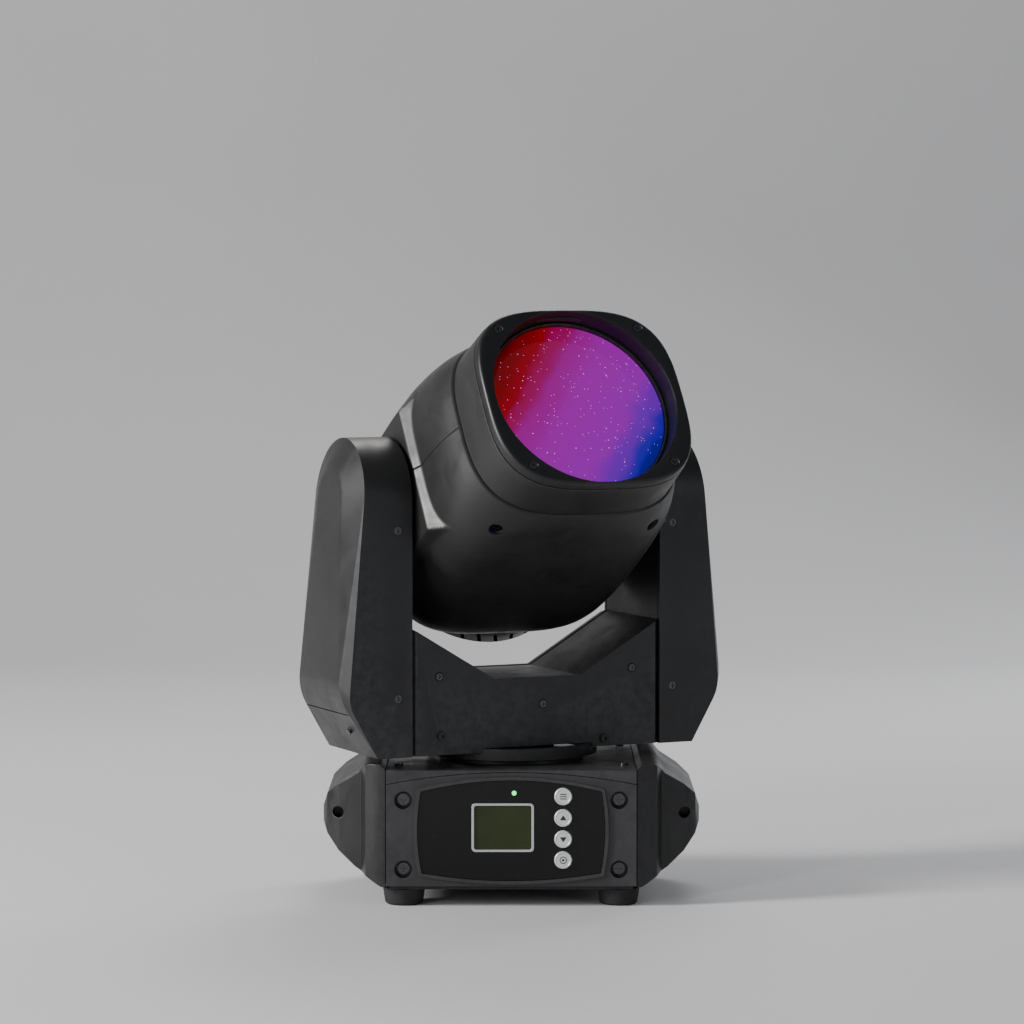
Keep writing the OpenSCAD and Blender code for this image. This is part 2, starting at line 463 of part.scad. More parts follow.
module tilt_pulley() color("#b8b8ba") at_head() difference() {
    union() { rod_x(tilt_belt_x - 1.6, tilt_belt_x - 0.4, tilt_pulley_r + 2); rod_x(tilt_belt_x - 0.4, tilt_belt_x + 6.4, tilt_pulley_r); rod_x(tilt_belt_x + 6.4, tilt_belt_x + 7.6, tilt_pulley_r + 2); }
    rod_x(100, 130, 8.04);
    for (a = [0:72:288]) rotate([a, 0, 0]) translate([0, 17, 0]) rod_x(100, 130, 4);
}
module head_fan_frame() color("#18181a") at_head() difference() {
    union() {
        difference() { slab_z(-82, -66.6) polygon(rrect(80, 80, 6)); rod_z(-90, -60, 38); }
        intersection() { union() { box(-40, 40, -2, 2, -68.6, -66.6); box(-2, 2, -40, 40, -68.6, -66.6); rod_z(-68.6, -66.6, 15); } rod_z(-70, -60, 39); }
    }
    for (x = [-34, 34], y = [-34, 34]) translate([x, y, 0]) rod_z(-90, -60, 2);
    rod_z(-90, -60, 1.56);
}
module head_fan_rotor() color("#202022") at_head() {
    rod_z(-81, -70, 14);
    rod_z(-70, -67, 1.5);
    for (a = [0:360 / 7:359]) rotate([0, 0, a]) translate([24, 0, -75.6]) rotate([38, 0, 0]) cube([23, 13, 1.3], center = true);
}
module heatsink() color("silver") at_head() difference() {
    union() { slab_z(-54, -50) polygon(superell(58, 56, 2.6, 40)); for (i = [-6:6]) box(i * 8 - 0.8, i * 8 + 0.8, -46, 46, -65.6, -54); rod_z(-50, -48, 26); }
    for (x = [-44, 44], y = [-34, 34]) translate([x, y, 0]) rod_z(-60, -45, 1.6);
}
module lamp_module() color("gold") at_head() { rod_z(-48, -45.6, 20); box(-7, 7, -7, 7, -45.6, -44.4); difference() { rod_z(-45.6, -34, 16); rod_z(-46, -33, 13.5); } }
module condenser_lens() color("#b9d3e6") at_head() rotate_extrude($fn = 96) polygon(concat([[0, -26], [21, -23.5], [22, -22], [22, -20], [21, -19]], [for (i = [6:-1:0]) let (r = 20 * i / 6) [r, -19 + 4 * (1 - pow(r / 20, 2))]]));
module wheel(w, hole_r) difference() {
    union() { rod_z(w, w + 1.2, 38); rod_z(w - 1.6, w + 2.8, 6); }
    for (a = [0:360 / 9:359]) rotate([0, 0, a]) translate([28, 0, 0]) rod_z(w - 1, w + 2, hole_r);
}
module color_wheel() color("#d06090") at_head() translate([0, -30, 0]) { wheel(-9, 8); rod_z(-17.6, -8, 1.5); }
module gobo_wheel() color("#c8c8ca") at_head() translate([0, -30, 0]) { wheel(8, 6.5); rod_z(9, 18.6, 1.5); }
module wheel_motors() color("#56565a") at_head() translate([0, -30, 0]) {
    difference() { union() { rod_z(-45.6, -22, 7.5); rod_z(-22, -12, 3.1); } rod_z(-20, -11, 1.56); }
    difference() { union() { rod_z(24, 44, 7.5); rod_z(12.4, 24, 3.1); } rod_z(11, 22, 1.56); }
}
module focus_carriage() color("#38383b") at_head() difference() {
    union() { slab_z(58, 61) polygon(rrect(112, 70, 8)); rod_z(54, 65, 32); for (x = [-50, 50]) translate([x, 20, 0]) rod_z(54, 65, 5); }
    rod_z(50, 70, 28);
    for (x = [-50, 50]) translate([x, 20, 0]) rod_z(50, 70, 2.56);
}
module focus_lens() color("#b9d3e6") at_head() rotate_extrude($fn = 96) polygon(concat([[0, 53], [20, 55], [28, 58], [28, 61]], [for (i = [6:-1:0]) let (r = 27 * i / 6) [r, 61.6 + 3 * (1 - pow(r / 27, 2))]]));

base_chassis();
base_top_deck();
base_front_cover();
base_rear_panel();
left_side_cover();
right_side_cover();
display_panel();
lcd_frame();
lcd_window();
status_light();
display_board();
menu_button();
up_button();
down_button();
enter_button();
rubber_feet();
base_screws();
power_supply();
main_board();
power_inlet();
dmx_sockets();
fuse_holder();
base_fan_frame();
base_fan_rotor();
pan_post();
pan_pulley();
yoke_frame();
pan_bearing();
left_arm_cover();
right_arm_cover();
crossbar_front_cover();
crossbar_rear_cover();
yoke_screws();
pan_motor();
pan_motor_pulley();
pan_belt();
tilt_motor();
tilt_motor_pulley();
tilt_belt();
tilt_bearings();
arm_driver_board();
head_frame();
tilt_pulley();
head_top_cover();
head_bottom_cover();
front_cap();
front_bezel();
head_screws();
front_lens();
rear_vent_cap();
head_fan_frame();
head_fan_rotor();
heatsink();
lamp_module();
condenser_lens();
color_wheel();
gobo_wheel();
wheel_motors();
focus_carriage();
focus_lens();
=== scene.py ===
import bpy, bmesh, json, math
from mathutils import Vector, Matrix

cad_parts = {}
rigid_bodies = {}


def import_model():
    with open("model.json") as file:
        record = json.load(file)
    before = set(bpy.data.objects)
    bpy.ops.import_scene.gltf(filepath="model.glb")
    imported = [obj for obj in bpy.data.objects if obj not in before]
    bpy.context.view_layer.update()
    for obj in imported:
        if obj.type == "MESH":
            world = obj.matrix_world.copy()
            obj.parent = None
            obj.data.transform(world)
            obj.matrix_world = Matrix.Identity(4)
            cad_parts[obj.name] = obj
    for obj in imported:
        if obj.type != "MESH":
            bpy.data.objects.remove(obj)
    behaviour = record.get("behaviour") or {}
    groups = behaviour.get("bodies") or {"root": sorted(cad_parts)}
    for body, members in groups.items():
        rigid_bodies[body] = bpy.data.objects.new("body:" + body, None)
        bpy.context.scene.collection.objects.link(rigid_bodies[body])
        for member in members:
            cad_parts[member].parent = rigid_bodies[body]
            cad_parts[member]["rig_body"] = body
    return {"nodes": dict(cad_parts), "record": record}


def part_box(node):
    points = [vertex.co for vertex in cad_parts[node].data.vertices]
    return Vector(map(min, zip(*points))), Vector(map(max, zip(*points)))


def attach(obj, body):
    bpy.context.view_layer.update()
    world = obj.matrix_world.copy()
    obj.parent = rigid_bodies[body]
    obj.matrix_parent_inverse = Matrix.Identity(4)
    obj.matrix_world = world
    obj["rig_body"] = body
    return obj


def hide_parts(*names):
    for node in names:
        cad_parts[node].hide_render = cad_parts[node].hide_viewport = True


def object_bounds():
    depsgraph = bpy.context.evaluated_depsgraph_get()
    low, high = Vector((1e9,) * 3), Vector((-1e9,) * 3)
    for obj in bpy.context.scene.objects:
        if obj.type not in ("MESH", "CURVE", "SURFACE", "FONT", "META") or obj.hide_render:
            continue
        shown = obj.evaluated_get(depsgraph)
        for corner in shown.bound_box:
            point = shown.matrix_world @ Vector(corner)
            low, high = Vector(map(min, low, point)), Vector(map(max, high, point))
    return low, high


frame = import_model()
cad_lo, cad_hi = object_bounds()
scene = bpy.context.scene
MM = 0.001
PAN = math.radians(25.0)
TILT = math.radians(58.0)
M_YOKE = Matrix.Rotation(PAN, 4, "Z")
M_HEAD = M_YOKE @ Matrix.Translation((0, 0, 0.273)) @ Matrix.Rotation(TILT, 4, "X")

# ------------------------------------------------------------------ camera
cam_data = bpy.data.cameras.new("camera")
cam = bpy.data.objects.new("camera", cam_data)
scene.collection.objects.link(cam)
cam_data.sensor_width = 36.0
cam_data.lens = 136.6
cam_data.dof.use_dof = False
cam_data.clip_start, cam_data.clip_end = 0.05, 60.0
cam.location = (0.0005, -2.800, 0.438)
cam.rotation_euler = (math.radians(90.0 - 3.60), 0.0, 0.0)
scene.camera = cam

# ------------------------------------------------------------------ material kit
class Mat:
    """A small helper for building node materials."""
    def __init__(self, name):
        self.m = bpy.data.materials.new(name)
        self.m.use_nodes = True
        self.nt = self.m.node_tree
        self.p = self.nt.nodes["Principled BSDF"]
        self.tc = self.nt.nodes.new("ShaderNodeTexCoord")
    def n(self, kind, **inputs):
        node = self.nt.nodes.new(kind)
        for k, v in inputs.items():
            if k.startswith("_"):
                setattr(node, k[1:], v)
            else:
                key = k.replace("__", " ")
                if hasattr(v, "is_output"):
                    self.nt.links.new(v, node.inputs[key])
                else:
                    node.inputs[key].default_value = v
        return node
    def set(self, **kw):
        for k, v in kw.items():
            key = k.replace("__", " ")
            if hasattr(v, "is_output"):
                self.nt.links.new(v, self.p.inputs[key])
            else:
                self.p.inputs[key].default_value = v
    def noise(self, scale, detail=2.0, rough=0.5, vec=None, dist=0.0):
        return self.n("ShaderNodeTexNoise", Scale=scale, Detail=detail, Roughness=rough, Distortion=dist,
                      Vector=vec if vec is not None else self.tc.outputs["Object"]).outputs["Fac"]
    def ramp(self, fac, a, b, lo=0.0, hi=1.0):
        return self.n("ShaderNodeMapRange", Value=fac, **{"From__Min": a, "From__Max": b, "To__Min": lo, "To__Max": hi}).outputs["Result"]
    def math(self, op, a, b=None):
        node = self.nt.nodes.new("ShaderNodeMath")
        node.operation = op
        for i, v in enumerate((a, b)):
            if v is None:
                continue
            if hasattr(v, "is_output"):
                self.nt.links.new(v, node.inputs[i])
            else:
                node.inputs[i].default_value = v
        return node.outputs[0]
    def mix(self, fac, a, b):
        node = self.nt.nodes.new("ShaderNodeMix")
        node.data_type = "RGBA"
        for sock, v in ((node.inputs[0], fac), (node.inputs[6], a), (node.inputs[7], b)):
            if hasattr(v, "is_output"):
                self.nt.links.new(v, sock)
            else:
                sock.default_value = v
        return node.outputs[2]
    def bump(self, height, strength, dist=0.0002, normal=None):
        kw = {"Height": height, "Strength": strength, "Distance": dist}
        if normal is not None:
            kw["Normal"] = normal
        return self.n("ShaderNodeBump", **kw).outputs["Normal"]

def rgb(c, k=1.0):
    return (c[0] * k, c[1] * k, c[2] * k, 1.0)

def moulded(name, col, rough=0.45, grain=1500, bump=0.22, wear=0.35, var=0.10, coat=0.0, wear_col=None):
    """Fine-grained moulded plastic or powder coat: spark-eroded grain, soft smudges, lighter rubbed edges, dust."""
    k = Mat(name)
    fine = k.noise(grain, 3.0, 0.6)
    mid = k.noise(grain * 0.28, 2.0, 0.5)
    big = k.noise(14.0, 4.0, 0.6)
    smear = k.noise(45.0, 3.0, 0.55, dist=0.6)
    point = k.n("ShaderNodeNewGeometry").outputs["Pointiness"]
    edge = k.ramp(point, 0.515, 0.60)
    edge = k.math("MULTIPLY", edge, k.ramp(k.noise(160.0, 3.0, 0.6), 0.35, 0.65))
    edge = k.math("MULTIPLY", edge, wear)
    light = wear_col or (min(1, col[0] * 3.4 + 0.02), min(1, col[1] * 3.4 + 0.02), min(1, col[2] * 3.4 + 0.02))
    base = k.mix(k.ramp(big, 0.3, 0.7), rgb(col, 0.84), rgb(col, 1.18))
    speck = k.math("GREATER_THAN", k.noise(2600.0, 1.0, 0.4), 0.735)
    base = k.mix(k.math("MULTIPLY", speck, 0.10), base, rgb((0.35, 0.35, 0.36)))
    base = k.mix(edge, base, rgb(light))
    r = k.math("ADD", k.ramp(smear, 0.25, 0.75, -var, var), rough)
    r = k.math("ADD", r, k.ramp(fine, 0.3, 0.7, -0.04, 0.04))
    nrm = k.bump(mid, bump * 0.5, 0.00018)
    nrm = k.bump(fine, bump, 0.00012, nrm)
    k.set(**{"Base__Color": base, "Roughness": r, "Normal": nrm, "Specular__IOR__Level": 0.42, "Coat__Weight": coat})
    return k

def metal(name, col, rough=0.3, grain=(8, 900, 8), bump=0.08, metallic=1.0, var=0.12):
    """Machined or plated metal with a directional grain and fingerprints."""
    k = Mat(name)
    mp = k.n("ShaderNodeMapping", Vector=k.tc.outputs["Object"], Scale=grain)
    brush = k.noise(1.0, 4.0, 0.7, vec=mp.outputs["Vector"])
    big = k.noise(40.0, 3.0, 0.6)
    base = k.mix(k.ramp(brush, 0.3, 0.7), rgb(col, 0.86), rgb(col, 1.08))
    r = k.math("ADD", k.ramp(big, 0.25, 0.75, -var, var), rough)
    k.set(**{"Base__Color": base, "Roughness": r, "Metallic": metallic, "Normal": k.bump(brush, bump, 0.0001)})
    return k

MATS = {}
MATS["case_plastic"] = moulded("case_plastic", (0.0165, 0.0165, 0.0175), 0.43, 1500, 0.24, 0.30)
MATS["black_plastic"] = moulded("black_plastic", (0.0105, 0.0105, 0.0112), 0.40, 1700, 0.22, 0.28)
MATS["steel_black"] = moulded("steel_black", (0.013, 0.013, 0.0135), 0.46, 900, 0.34, 0.35)
MATS["fan_plastic"] = moulded("fan_plastic", (0.012, 0.012, 0.0125), 0.38, 1400, 0.12, 0.25)
MATS["socket_plastic"] = moulded("socket_plastic", (0.010, 0.010, 0.0105), 0.36, 1600, 0.16, 0.25)
MATS["foot_rubber"] = moulded("foot_rubber", (0.012, 0.012, 0.012), 0.72, 1100, 0.40, 0.10)
MATS["belt_rubber"] = moulded("belt_rubber", (0.011, 0.011, 0.011), 0.60, 1200, 0.30, 0.10)
MATS["motor_black"] = moulded("motor_black", (0.022, 0.022, 0.024), 0.38, 1100, 0.20, 0.30)
MATS["socket_metal"] = moulded("socket_metal", (0.030, 0.030, 0.032), 0.34, 1000, 0.22, 0.45, wear_col=(0.35, 0.35, 0.36))
MATS["circuit_board"] = moulded("circuit_board", (0.010, 0.075, 0.030), 0.30, 500, 0.15, 0.10)
MATS["screw_steel"] = metal("screw_steel", (0.11, 0.11, 0.115), 0.30, (900, 900, 30), 0.10, 0.9)
MATS["zinc_steel"] = metal("zinc_steel", (0.58, 0.59, 0.60), 0.34, (30, 500, 30), 0.08)
MATS["machined_alloy"] = metal("machined_alloy", (0.72, 0.73, 0.74), 0.28, (700, 700, 40), 0.08)
MATS["bearing_steel"] = metal("bearing_steel", (0.55, 0.56, 0.58), 0.18, (60, 60, 900), 0.04)
MATS["lamp_brass"] = metal("lamp_brass", (0.76, 0.60, 0.25), 0.24, (400, 400, 40), 0.05)
MATS["lcd_silver"] = metal("lcd_silver", (0.70, 0.71, 0.73), 0.33, (20, 20, 900), 0.06, 0.85)

# a lighter copy of the case plastic: painted sheen and painted reflection for the base front cover and top deck
MATS["shell_painted_sheen"] = moulded("shell_painted_sheen", (0.030, 0.030, 0.032), 0.36, 1500, 0.22, 0.30)
MATS["ring_black"] = moulded("ring_black", (0.02, 0.02, 0.022), 0.20, 1400, 0.05, 0.4)

# gloss panel: deep gloss with faint wiping scratches and dust
k = Mat("gloss_panel")
mp = k.n("ShaderNodeMapping", Vector=k.tc.outputs["Object"], Scale=(120, 10, 900), Rotation=(0, 0.25, 0))
scr = k.noise(1.0, 5.0, 0.75, vec=mp.outputs["Vector"])
dust = k.math("GREATER_THAN", k.noise(1500.0, 1.0, 0.3), 0.765)
base = k.mix(k.math("MULTIPLY", dust, 0.25), rgb((0.0035, 0.0035, 0.0040)), rgb((0.25, 0.25, 0.26)))
k.set(**{"Base__Color": base, "Roughness": k.math("ADD", k.ramp(scr, 0.62, 0.80, 0.0, 0.16), k.ramp(k.noise(30.0, 3.0), 0.3, 0.7, 0.06, 0.13)),
         "Normal": k.bump(scr, 0.015, 0.0001), "Coat__Weight": 0.15, "Coat__Roughness": 0.04, "Specular__IOR__Level": 0.22})
MATS["gloss_panel"] = k

# display window: dark olive with a very fine dot grid
k = Mat("lcd_glass")
sep = k.n("ShaderNodeSeparateXYZ", Vector=k.tc.outputs["Object"])
def stripes(s, freq, duty):
    f = k.math("FRACT", k.math("MULTIPLY", s, freq))
    return k.math("GREATER_THAN", f, duty)
grid = k.math("MULTIPLY", stripes(sep.outputs["X"], 1700.0, 0.18), stripes(sep.outputs["Z"], 1700.0, 0.18))
cloud = k.noise(40.0, 3.0, 0.6)
base = k.mix(grid, rgb((0.010, 0.014, 0.004)), k.mix(k.ramp(cloud, 0.3, 0.7), rgb((0.022, 0.031, 0.007)), rgb((0.032, 0.044, 0.012))))
k.set(**{"Base__Color": base, "Roughness": k.ramp(k.noise(300.0, 2.0), 0.3, 0.7, 0.10, 0.20), "Coat__Weight": 0.0, "Specular__IOR__Level": 0.3,
         "Normal": k.bump(grid, 0.01, 0.0001)})
MATS["lcd_glass"] = k

k = Mat("green_led")
core = k.noise(900.0, 2.0)
k.set(**{"Base__Color": k.mix(core, rgb((0.03, 0.55, 0.06)), rgb((0.10, 0.85, 0.15))), "Roughness": k.ramp(core, 0.3, 0.7, 0.15, 0.30),
         "Emission__Color": k.mix(core, rgb((0.05, 0.95, 0.10)), rgb((0.25, 1.0, 0.30))), "Emission__Strength": 2.2})
MATS["green_led"] = k

k = Mat("button_silver")
gr = k.noise(2200.0, 3.0, 0.6)
base = k.mix(k.ramp(k.noise(90.0, 3.0), 0.3, 0.7), rgb((0.62, 0.63, 0.64)), rgb((0.74, 0.75, 0.76)))
k.set(**{"Base__Color": base, "Roughness": k.ramp(gr, 0.3, 0.7, 0.26, 0.40), "Metallic": 0.35, "Normal": k.bump(gr, 0.10, 0.00008), "Coat__Weight": 0.2})
MATS["button_silver"] = k

k = Mat("ink_black")
gr = k.noise(1800.0, 2.0)
k.set(**{"Base__Color": k.mix(gr, rgb((0.010, 0.010, 0.011)), rgb((0.022, 0.022, 0.023))), "Roughness": k.ramp(gr, 0.3, 0.7, 0.40, 0.55), "Normal": k.bump(gr, 0.1, 0.00005)})
MATS["ink_black"] = k

k = Mat("filter_color")
a = k.noise(30.0, 2.0)
k.set(**{"Base__Color": k.mix(k.ramp(a, 0.4, 0.6), rgb((0.75, 0.12, 0.35)), rgb((0.20, 0.30, 0.80))), "Roughness": k.ramp(k.noise(400.0), 0.3, 0.7, 0.05, 0.15), "Metallic": 0.4})
MATS["filter_color"] = k

k = Mat("clear_glass")
sm = k.noise(60.0, 3.0)
k.set(**{"Base__Color": k.mix(sm, rgb((0.55, 0.60, 0.66)), rgb((0.66, 0.70, 0.75))), "Roughness": k.ramp(sm, 0.3, 0.7, 0.03, 0.08), "Transmission__Weight": 0.85, "IOR": 1.5})
MATS["clear_glass"] = k

# ------------------------------------------------------------------ mesh kit
def new_obj(name, verts, faces, smooth=True):
    me = bpy.data.meshes.new(name)
    me.from_pydata([tuple(v) for v in verts], [], faces)
    me.validate()
    me.update()
    ob = bpy.data.objects.new(name, me)
    scene.collection.objects.link(ob)
    if smooth:
        me.polygons.foreach_set("use_smooth", [True] * len(me.polygons))
    return ob

def apply_mods(ob):
    dg = bpy.context.evaluated_depsgraph_get()
    me = bpy.data.meshes.new_from_object(ob.evaluated_get(dg))
    old = ob.data
    ob.modifiers.clear()
    ob.data = me
    bpy.data.meshes.remove(old)
    return ob

def paint(ob, slot, mat=None):
    ob.data.materials.clear()
    ob.data.materials.append((MATS[mat] if mat else MATS[slot]).m)

def shade(ob, angle=32.0):
    """Smooth shading with hard creases above the angle."""
    me = ob.data
    me.polygons.foreach_set("use_smooth", [True] * len(me.polygons))
    bm = bmesh.new(); bm.from_mesh(me)
    lim = math.radians(angle)
    for e in bm.edges:
        e.smooth = not (len(e.link_faces) != 2 or e.calc_face_angle(0.0) > lim)
    bm.to_mesh(me); bm.free()

def softened(node, slot, width=0.6, segs=2, angle=28.0, mat=None, body=None, replace=True):
    """The CAD node's own solid with every hard edge rounded, as the moulded or machined piece has."""
    src = frame["nodes"][node]
    me = src.data.copy()
    ob = bpy.data.objects.new(node + "_finish", me)
    scene.collection.objects.link(ob)
    bm = bmesh.new(); bm.from_mesh(me)
    bmesh.ops.remove_doubles(bm, verts=bm.verts, dist=2e-6)
    bmesh.ops.dissolve_limit(bm, angle_limit=math.radians(0.6), verts=bm.verts, edges=bm.edges)
    bm.to_mesh(me); bm.free()
    if width > 0:
        md = ob.modifiers.new("bevel", "BEVEL")
        md.width = width * MM
        md.segments = segs
        md.limit_method = "ANGLE"
        md.angle_limit = math.radians(angle)
        md.use_clamp_overlap = True
        md.loop_slide = True
        md.harden_normals = False
        apply_mods(ob)
    shade(ob, 30.0)
    md = ob.modifiers.new("wn", "WEIGHTED_NORMAL")
    md.keep_sharp = True
    md.weight = 80
    apply_mods(ob)
    paint(ob, slot, mat)
    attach(ob, body or src["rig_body"])
    if replace:
        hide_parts(node)
    return ob

SLOT = {s["node"]: s["material_slot"] for s in frame["record"]["subparts"]}
for name, ob in frame["nodes"].items():
    key = SLOT[name]
    if key == "lens_glass":
        key = "clear_glass"
    ob.data.materials.clear()
    ob.data.materials.append(MATS[key].m)

SOFT = {
    "base_top_deck": 0.5, "base_front_cover": 0.7, "base_rear_panel": 0.3, "left_side_cover": 1.8, "right_side_cover": 1.8,
    "display_panel": 0.25, "lcd_frame": 0.35, "lcd_window": 0.15, "rubber_feet": 0.5, "base_screws": 0.18,
    "power_inlet": 0.3, "dmx_sockets": 0.25, "fuse_holder": 0.35, "yoke_frame": 0.4, "yoke_screws": 0.12, "head_screws": 0.15,
    "rear_vent_cap": 0.35, "base_chassis": 0.3,
}
# the base front cover and top deck take the lighter shell material, so their sheen is painted into the colour
for n, w in SOFT.items():
    softened(n, SLOT[n], w, mat="shell_painted_sheen" if n in ("base_front_cover", "base_top_deck") else None)

# ------------------------------------------------------------------ helpers for detailed pieces
def finish_normals(ob, angle=30.0):
    shade(ob, angle)
    md = ob.modifiers.new("wn", "WEIGHTED_NORMAL")
    md.keep_sharp = True
    md.weight = 80
    apply_mods(ob)

def cut(ob, cutters):
    """Exact boolean: the cutters' solids are taken out of ob."""
    for c in cutters:
        md = ob.modifiers.new("cut", "BOOLEAN")
        md.operation = "DIFFERENCE"
        md.solver = "EXACT"
        md.object = c
    apply_mods(ob)
    for c in cutters:
        me = c.data
        bpy.data.objects.remove(c)
        bpy.data.meshes.remove(me)
    return ob

def axis_matrix(p, d):
    q = Vector(d).to_track_quat("Z", "Y").to_matrix().to_4x4()
    return Matrix.Translation(Vector(p)) @ q

def lathe(name, profile, mat, seg=48):
    """Closed solid of revolution about the local Z axis; profile runs from the axis, round, and back to it, in mm."""
    bm = bmesh.new()
    rows = []
    for r, z in profile:
        if r <= 1e-6:
            rows.append([bm.verts.new(mat @ Vector((0, 0, z * MM)))])
        else:
            rows.append([bm.verts.new(mat @ Vector((r * MM * math.cos(2 * math.pi * i / seg), r * MM * math.sin(2 * math.pi * i / seg), z * MM))) for i in range(seg)])
    n = len(rows)
    closed = len(rows[0]) > 1
    for j in range(n if closed else n - 1):
        a, b = rows[j], rows[(j + 1) % n]
        for i in range(seg):
            k = (i + 1) % seg
            if len(a) == 1 and len(b) == 1:
                continue
            if len(a) == 1:
                bm.faces.new((a[0], b[i], b[k]))
            elif len(b) == 1:
                bm.faces.new((a[i], b[0], a[k]))
            else:
                bm.faces.new((a[i], b[i], b[k], a[k]))
    bmesh.ops.recalc_face_normals(bm, faces=bm.faces)
    me = bpy.data.meshes.new(name); bm.to_mesh(me); bm.free()
    ob = bpy.data.objects.new(name, me)
    scene.collection.objects.link(ob)
    return ob

def join(name, obs):
    bm = bmesh.new()
    for o in obs:
        bm.from_mesh(o.data)
        me = o.data
        bpy.data.objects.remove(o); bpy.data.meshes.remove(me)
    me = bpy.data.meshes.new(name); bm.to_mesh(me); bm.free()
    ob = bpy.data.objects.new(name, me)
    scene.collection.objects.link(ob)
    return ob

def sell(a, b, n, t):
    c, s = math.cos(t), math.sin(t)
    return (a * math.copysign(abs(c) ** (2 / n), c), b * math.copysign(abs(s) ** (2 / n), s))

def ring_loft(name, rows, frame_m, k=240):
    """Closed ring through super-ellipse rows (w, a, b, n) in mm; the last row joins the first."""
    bm = bmesh.new()
    vs = []
    for w, a, b, n in rows:
        vs.append([bm.verts.new(frame_m @ Vector((x * MM, y * MM, w * MM))) for x, y in (sell(a, b, n, 2 * math.pi * (i + 0.5) / k) for i in range(k))])
    m = len(rows)
    for j in range(m):
        a, b = vs[j], vs[(j + 1) % m]
        for i in range(k):
            q = (i + 1) % k
            bm.faces.new((a[i], a[q], b[q], b[i]))
    bmesh.ops.recalc_face_normals(bm, faces=bm.faces)
    me = bpy.data.meshes.new(name); bm.to_mesh(me); bm.free()
    ob = bpy.data.objects.new(name, me)
    scene.collection.objects.link(ob)
    return ob

def hull_solid(name, pts, frame_m, bevel=0.0, segs=3, angle=14.0):
    bm = bmesh.new()
    for p in pts:
        bm.verts.new(frame_m @ (Vector(p) * MM))
    bmesh.ops.remove_doubles(bm, verts=bm.verts, dist=1e-5)
    res = bmesh.ops.convex_hull(bm, input=bm.verts)
    junk = [g for g in res["geom_interior"] if isinstance(g, bmesh.types.BMVert)]
    bmesh.ops.delete(bm, geom=junk, context="VERTS")
    bmesh.ops.dissolve_limit(bm, angle_limit=math.radians(0.4), verts=bm.verts, edges=bm.edges)
    bmesh.ops.recalc_face_normals(bm, faces=bm.faces)
    me = bpy.data.meshes.new(name); bm.to_mesh(me); bm.free()
    ob = bpy.data.objects.new(name, me)
    scene.collection.objects.link(ob)
    if bevel > 0:
        md = ob.modifiers.new("bevel", "BEVEL")
        md.width, md.segments, md.limit_method, md.angle_limit = bevel * MM, segs, "ANGLE", math.radians(angle)
        md.use_clamp_overlap = True
        apply_mods(ob)
    return ob

def prism(name, pts, lo, hi, frame_m, bevel=0.0, segs=3, axis="y"):
    """Solid from a plane outline in X and Z (or X and Y), extruded between lo and hi, edges rounded; mm."""
    bm = bmesh.new()
    def P(p, h):
        return frame_m @ (Vector((p[0], h, p[1]) if axis == "y" else ((p[0], p[1], h) if axis == "z" else (h, p[0], p[1]))) * MM)
    a = [bm.verts.new(P(p, lo)) for p in pts]
    b = [bm.verts.new(P(p, hi)) for p in pts]
    n = len(pts)
    bm.faces.new(a); bm.faces.new(list(reversed(b)))
    for i in range(n):
        k = (i + 1) % n
        bm.faces.new((a[i], b[i], b[k], a[k]))
    bmesh.ops.recalc_face_normals(bm, faces=bm.faces)
    me = bpy.data.meshes.new(name); bm.to_mesh(me); bm.free()
    ob = bpy.data.objects.new(name, me)
    scene.collection.objects.link(ob)
    if bevel > 0:
        md = ob.modifiers.new("bevel", "BEVEL")
        md.width, md.segments, md.limit_method, md.angle_limit = bevel * MM, segs, "ANGLE", math.radians(28)
        apply_mods(ob)
    return ob

def piece(ob, slot, body, nodes=(), mat=None, angle=30.0, normals=True):
    if normals:
        finish_normals(ob, angle)
    paint(ob, slot, mat)
    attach(ob, body)
    for n in nodes:
        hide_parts(n)
    return ob

def arc(cx, cy, r, a0, a1, n):
    return [(cx + r * math.cos(math.radians(a0 + (a1 - a0) * i / n)), cy + r * math.sin(math.radians(a0 + (a1 - a0) * i / n))) for i in range(n + 1)]

# ------------------------------------------------------------------ yoke arm covers
def arm_points(t, x0):
    pts = []
    prof = [(-(45 - t), 94 + t), (45 - t, 94 + t)] + arc(0, 273, 45 - t, 0, 180, 60)
    pts += [(x, y, z) for x in (x0, x0 + 0.4) for y, z in prof]
    def top(x, slope, h0, h1, zb):
        pr = [(x + slope * (z - 130), y, z) for y, z in arc(0, 273, h1, 0, 180, 60)]
        # lower corner: a soft curve from the face into the slanted underside
        ax, az, bx, bz = x + slope * 11, zb + 11, x - 7.5, zb - 10
        for f in (0.0, 0.15, 0.3, 0.45, 0.6, 0.8, 1.0):
            px = (1 - f) ** 2 * ax + 2 * f * (1 - f) * x + f * f * bx
            pz = (1 - f) ** 2 * az + 2 * f * (1 - f) * zb + f * f * bz
            pr += [(px, h0, pz), (px, -h0, pz)]
        return pr
    pts += top(146 - t, -13 / 158, 45 - t, 45 - t, 130 + t / 2)
    # the outer face rolls over into the bevel, most of all round the top and the lower corner
    for dx, sh in (((0.0, 9.0), (0.3, 6.2), (1.1, 3.6), (2.3, 1.6), (4.0, 0.0)) if t == 0 else ((0.0, 0.0),)):
        pts += top(151 - t - dx, -10 / 163, 40.7 - t - sh * 0.55, 29 - t - sh, 130 + t / 2 + sh)
    pts += [(x, y, z) for x in (x0, 124 - t) for y in (-45 + t, 45 - t) for z in (94 + t, 95 + t)]
    return pts

